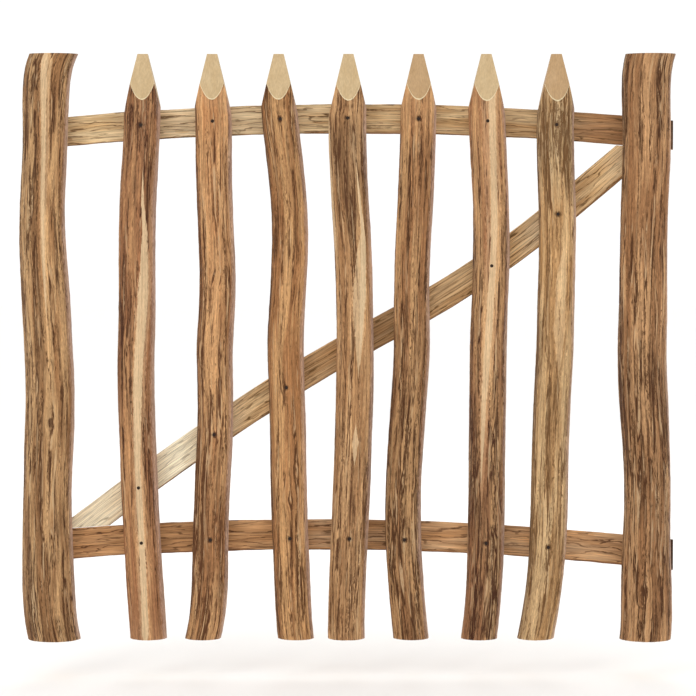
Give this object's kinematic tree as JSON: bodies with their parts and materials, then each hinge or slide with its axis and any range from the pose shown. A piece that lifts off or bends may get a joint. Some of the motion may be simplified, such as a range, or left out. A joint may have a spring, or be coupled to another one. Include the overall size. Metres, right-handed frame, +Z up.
{
  "type": "garden gate",
  "caption": "Rustic hazel picket gate: round stiles and pointed pickets nailed to bowed split rails and a diagonal brace, hung on pintle hinges, with a slide bolt on its back.",
  "frame": {"origin": "on the face of the gatepost, at the middle of the lower post plate's back, behind the hinge axis", "axes": "+X along the shut leaf from hinges to latch, +Y to the back towards the posts, +Z up"},
  "size_m": [1.0101, 0.132, 0.9],
  "materials": {
    "peeled_hazel": "peeled and streaked, matt",
    "split_hazel": "split face, matt",
    "nail_steel": "dark, tarnished",
    "galvanised_steel": "hot-dip galvanised, dull"
  },
  "bodies": {
    "post_side": {"upper_pintle_plate": "galvanised_steel", "lower_pintle_plate": "galvanised_steel", "upper_pintle_pin": "galvanised_steel", "lower_pintle_pin": "galvanised_steel"},
    "leaf": {"hinge_stile": "peeled_hazel", "latch_stile": "peeled_hazel", "picket_1": "peeled_hazel", "picket_2": "peeled_hazel", "picket_3": "peeled_hazel", "picket_4": "peeled_hazel", "picket_5": "peeled_hazel", "picket_6": "peeled_hazel", "picket_7": "peeled_hazel", "upper_rail": "split_hazel", "lower_rail": "split_hazel", "brace": "split_hazel", "upper_rail_nails": "nail_steel", "lower_rail_nails": "nail_steel", "brace_nails": "nail_steel", "stile_screws": "galvanised_steel", "hinge_strap_screws": "galvanised_steel", "latch_screws": "galvanised_steel", "upper_hinge_strap": "galvanised_steel", "lower_hinge_strap": "galvanised_steel", "latch_plate": "galvanised_steel", "latch_guides": "galvanised_steel"},
    "bolt": {"latch_bolt": "galvanised_steel", "latch_knob": "galvanised_steel"}
  },
  "joints": [
    {"name": "leaf_swing", "type": "hinge", "parent": "post_side", "child": "leaf", "pos_m": [0, -0.0165, 0], "axis": [0, 0, -1], "range_deg": [0, 100]},
    {"name": "bolt_slide", "type": "slide", "parent": "leaf", "child": "bolt", "axis": [1, 0, 0], "range_m": [0, 0.04]}
  ]
}
